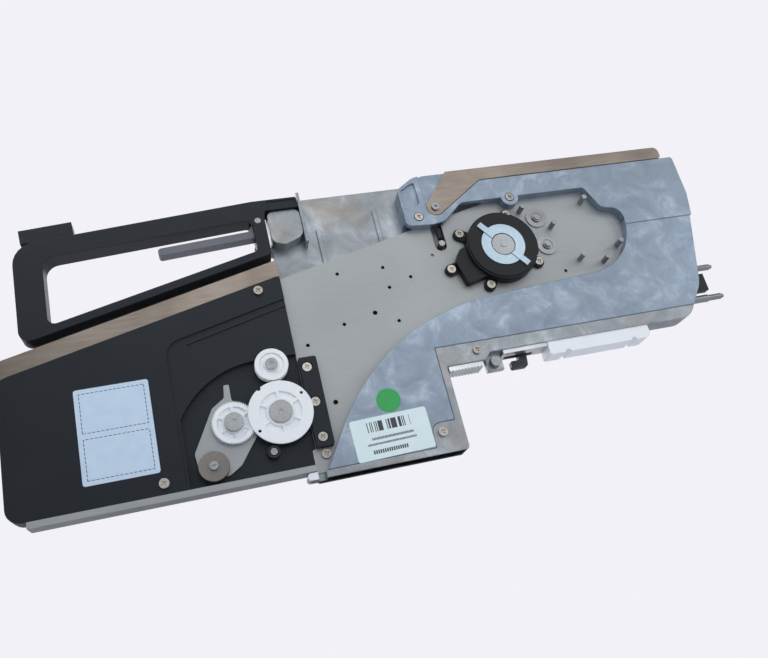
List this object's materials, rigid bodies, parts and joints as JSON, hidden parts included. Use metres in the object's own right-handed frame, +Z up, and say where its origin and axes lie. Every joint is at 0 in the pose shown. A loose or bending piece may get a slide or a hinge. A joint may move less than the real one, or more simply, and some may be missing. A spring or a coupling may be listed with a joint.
{
  "type": "tape feeder",
  "caption": "Electric component tape feeder: cast frame, gear and motor drive, sprocket, clamp lever, cover tape remover, carrying handle.",
  "frame": {"origin": "middle of the flat underside of the foot, on the body mid-plane", "axes": "+X towards the pick end, +Z up, -Y towards the gear and motor side"},
  "size_m": [0.455, 0.0176, 0.1847],
  "materials": {
    "cast_frame": "raw die-cast aluminium, satin",
    "cast_cover": "die-cast aluminium, blue-grey, satin",
    "sheet_plate": "matt plated sheet",
    "stainless": "brushed stainless sheet",
    "turned_steel": "turned bright steel",
    "screw_steel": "nickel plated",
    "black_plastic": "fine moulded texture",
    "white_plastic": "moulded acetal",
    "gear_plastic": "moulded acetal",
    "brass_gear": "cut brass",
    "dark_steel": "blackened steel",
    "grey_rubber": "knurled rubber",
    "button_grey": "moulded plastic",
    "lamp_green": "translucent plastic",
    "rear_plastic": "fine moulded texture"
  },
  "bodies": {
    "frame": {"main_frame": "cast_frame", "side_plate": "sheet_plate", "side_cover": "cast_cover", "top_casting": "cast_cover", "lever_pivot": "turned_steel", "lever_spring": "dark_steel", "spring_post": "turned_steel", "motor_housing": "black_plastic", "motor_plate": "sheet_plate", "shaft_bearings": "turned_steel", "idler_pin": "turned_steel", "plate_posts": "turned_steel", "plate_screws": "screw_steel", "motor_screws": "screw_steel", "casting_fixings": "screw_steel", "frame_screws": "screw_steel", "rear_screws": "screw_steel", "guide_pin": "turned_steel", "rail_strip": "stainless", "guide_block": "white_plastic", "rack_strip": "stainless", "release_pins": "turned_steel", "rear_housing": "rear_plastic", "rear_cover": "sheet_plate", "tail_rail": "sheet_plate", "tape_chute": "sheet_plate", "handle": "black_plastic", "control_panel": "black_plastic", "status_lamp": "lamp_green", "film_axles": "turned_steel", "arm_spring": "dark_steel", "bracket_block": "black_plastic", "foot_slider": "white_plastic", "locator_pins": "turned_steel", "dock_connector": "black_plastic"},
    "clamp_lever": {"lever_arm": "stainless", "tape_guide": "stainless"},
    "motor_rotor": {"motor_shaft": "turned_steel", "motor_pinion": "brass_gear"},
    "reduction": {"reduction_gear": "gear_plastic", "reduction_shaft": "turned_steel"},
    "transfer": {"transfer_gear": "gear_plastic", "transfer_shaft": "turned_steel"},
    "idler": {"idler_gear": "gear_plastic"},
    "sprocket": {"sprocket_gear": "gear_plastic", "tape_sprocket": "turned_steel", "sprocket_shaft": "turned_steel"},
    "hook": {"clamp_hook": "dark_steel"},
    "link": {"release_link": "sheet_plate"},
    "trigger": {"release_trigger": "button_grey"},
    "feed_key": {"feed_button": "button_grey"},
    "back_key": {"back_button": "button_grey"},
    "peel_key": {"peel_button": "button_grey"},
    "film_drive": {"film_gear": "white_plastic", "film_hub": "turned_steel"},
    "film_small": {"small_gear": "white_plastic", "small_hub": "turned_steel"},
    "guide_wheel": {"guide_roller": "white_plastic"},
    "pinch_arm": {"swing_arm": "turned_steel"},
    "pinch_wheel": {"pinch_roller": "grey_rubber"}
  },
  "joints": [
    {"name": "clamp_lever_hinge", "type": "hinge", "parent": "frame", "child": "clamp_lever", "pos_m": [0.0658, 0, 0.1592], "axis": [0, -1, 0], "range_deg": [0, 35]},
    {"name": "motor_spin", "type": "hinge", "parent": "frame", "child": "motor_rotor", "pos_m": [0.102, 0, 0.1245], "axis": [0, 1, 0], "continuous": true},
    {"name": "reduction_spin", "type": "hinge", "parent": "frame", "child": "reduction", "pos_m": [0.13558, 0, 0.12339], "axis": [0, 1, 0], "continuous": true},
    {"name": "transfer_spin", "type": "hinge", "parent": "frame", "child": "transfer", "pos_m": [0.13413, 0, 0.14414], "axis": [0, 1, 0], "continuous": true},
    {"name": "idler_spin", "type": "hinge", "parent": "frame", "child": "idler", "pos_m": [0.17793, 0, 0.13997], "axis": [0, 1, 0], "continuous": true},
    {"name": "sprocket_spin", "type": "hinge", "parent": "frame", "child": "sprocket", "pos_m": [0.215, 0, 0.15972], "axis": [0, 1, 0], "continuous": true},
    {"name": "trigger_squeeze", "type": "hinge", "parent": "frame", "child": "trigger", "pos_m": [-0.0488, 0, 0.16608], "axis": [0, 1, 0], "range_deg": [0, 5], "stiffness_Nm_per_rad": 0.6, "springref_deg": -2.86},
    {"name": "link_slide", "type": "slide", "parent": "frame", "child": "link", "axis": [-0.8738, 0, 0.4863], "range_m": [0, 0.00122]},
    {"name": "hook_turn", "type": "hinge", "parent": "frame", "child": "hook", "pos_m": [0.096, 0, 0.0635], "axis": [0, -1, 0], "range_deg": [0, 8.75]},
    {"name": "feed_key_press", "type": "slide", "parent": "frame", "child": "feed_key", "axis": [0.0698, 0, -0.9976], "range_m": [0, 0.0008], "stiffness_N_per_m": 300},
    {"name": "back_key_press", "type": "slide", "parent": "frame", "child": "back_key", "axis": [0.0698, 0, -0.9976], "range_m": [0, 0.0008], "stiffness_N_per_m": 300},
    {"name": "peel_key_press", "type": "slide", "parent": "frame", "child": "peel_key", "axis": [0.0698, 0, -0.9976], "range_m": [0, 0.0008], "stiffness_N_per_m": 300},
    {"name": "film_drive_spin", "type": "hinge", "parent": "frame", "child": "film_drive", "pos_m": [-0.058, 0, 0.042], "axis": [0, 1, 0], "continuous": true},
    {"name": "film_small_spin", "type": "hinge", "parent": "frame", "child": "film_small", "pos_m": [-0.08458, 0, 0.04098], "axis": [0, 1, 0], "continuous": true},
    {"name": "guide_wheel_spin", "type": "hinge", "parent": "frame", "child": "guide_wheel", "pos_m": [-0.058, 0, 0.0708], "axis": [0, 1, 0], "continuous": true},
    {"name": "pinch_arm_swing", "type": "hinge", "parent": "frame", "child": "pinch_arm", "pos_m": [-0.08458, 0, 0.04098], "axis": [0, 1, 0], "range_deg": [-2, 5], "stiffness_Nm_per_rad": 0.3},
    {"name": "pinch_wheel_spin", "type": "hinge", "parent": "pinch_arm", "child": "pinch_wheel", "pos_m": [-0.0991, 0, 0.01845], "axis": [0, 1, 0], "continuous": true}
  ],
  "couplings": [
    {"joint": "motor_spin", "follows": "reduction_spin", "ratio": -6},
    {"joint": "transfer_spin", "follows": "reduction_spin", "ratio": -0.3},
    {"joint": "idler_spin", "follows": "reduction_spin", "ratio": 0.17143},
    {"joint": "sprocket_spin", "follows": "reduction_spin", "ratio": -0.34286},
    {"joint": "film_small_spin", "follows": "film_drive_spin", "ratio": -1.1803},
    {"joint": "link_slide", "follows": "trigger_squeeze", "m_per_rad": 0.014},
    {"joint": "hook_turn", "follows": "trigger_squeeze", "ratio": 1.75}
  ]
}
